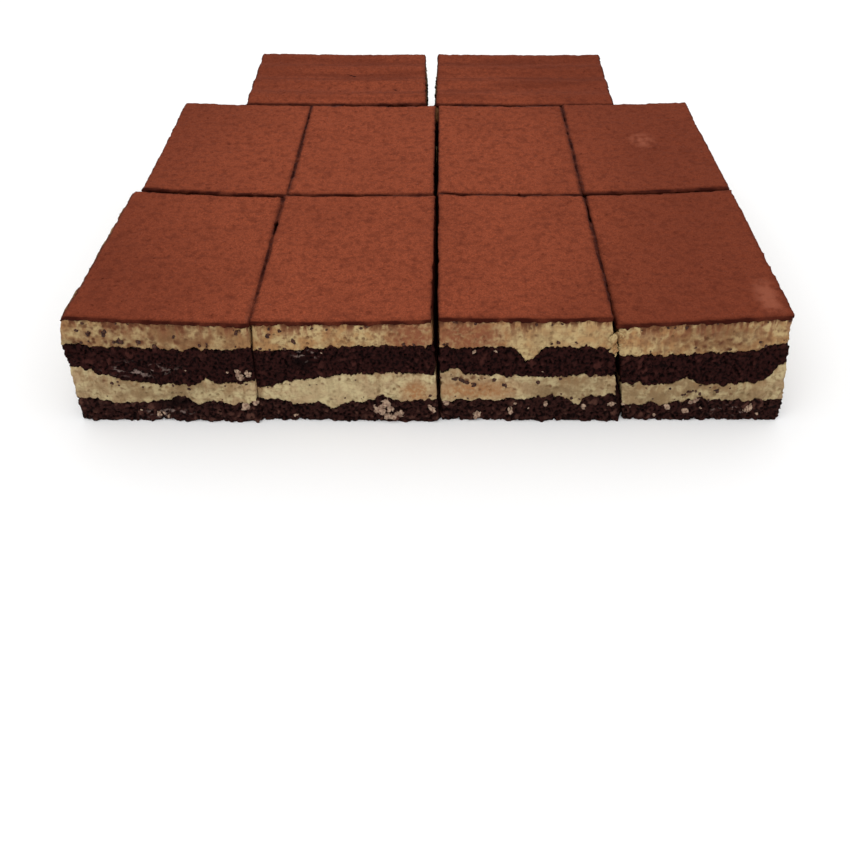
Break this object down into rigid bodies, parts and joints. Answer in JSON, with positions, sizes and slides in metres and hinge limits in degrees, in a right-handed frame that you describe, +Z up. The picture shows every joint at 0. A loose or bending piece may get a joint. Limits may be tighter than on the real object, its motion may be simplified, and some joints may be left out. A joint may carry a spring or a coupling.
{
  "type": "tiramisu cake",
  "caption": "Tiramisu tray cake cut into portions that stand together: dark moist sponge and pale cream in turn, under a skin of dusted cocoa.",
  "frame": {"origin": "centre of the cake's base, on the surface it rests on", "axes": "+Z up, +X along the cake's longer side, -Y the cut front that shows the layers"},
  "size_m": [0.2138, 0.2074, 0.0396],
  "materials": {
    "cocoa": "dusted cocoa powder, dry and matte",
    "cream": "cut mascarpone cream, soft sheen",
    "sponge": "soaked cocoa sponge, moist and crumbly"
  },
  "bodies": {
    "root": {"front_1_sponge_lower": "sponge", "front_1_cream_lower": "cream", "front_1_sponge_upper": "sponge", "front_1_cream_upper": "cream", "front_1_cocoa": "cocoa", "front_2_sponge_lower": "sponge", "front_2_cream_lower": "cream", "front_2_sponge_upper": "sponge", "front_2_cream_upper": "cream", "front_2_cocoa": "cocoa", "front_3_sponge_lower": "sponge", "front_3_cream_lower": "cream", "front_3_sponge_upper": "sponge", "front_3_cream_upper": "cream", "front_3_cocoa": "cocoa", "front_4_sponge_lower": "sponge", "front_4_cream_lower": "cream", "front_4_sponge_upper": "sponge", "front_4_cream_upper": "cream", "front_4_cocoa": "cocoa", "middle_1_sponge_lower": "sponge", "middle_1_cream_lower": "cream", "middle_1_sponge_upper": "sponge", "middle_1_cream_upper": "cream", "middle_1_cocoa": "cocoa", "middle_2_sponge_lower": "sponge", "middle_2_cream_lower": "cream", "middle_2_sponge_upper": "sponge", "middle_2_cream_upper": "cream", "middle_2_cocoa": "cocoa", "middle_3_sponge_lower": "sponge", "middle_3_cream_lower": "cream", "middle_3_sponge_upper": "sponge", "middle_3_cream_upper": "cream", "middle_3_cocoa": "cocoa", "middle_4_sponge_lower": "sponge", "middle_4_cream_lower": "cream", "middle_4_sponge_upper": "sponge", "middle_4_cream_upper": "cream", "middle_4_cocoa": "cocoa", "rear_1_sponge_lower": "sponge", "rear_1_cream_lower": "cream", "rear_1_sponge_upper": "sponge", "rear_1_cream_upper": "cream", "rear_1_cocoa": "cocoa", "rear_2_sponge_lower": "sponge", "rear_2_cream_lower": "cream", "rear_2_sponge_upper": "sponge", "rear_2_cream_upper": "cream", "rear_2_cocoa": "cocoa"}
  },
  "joints": []
}
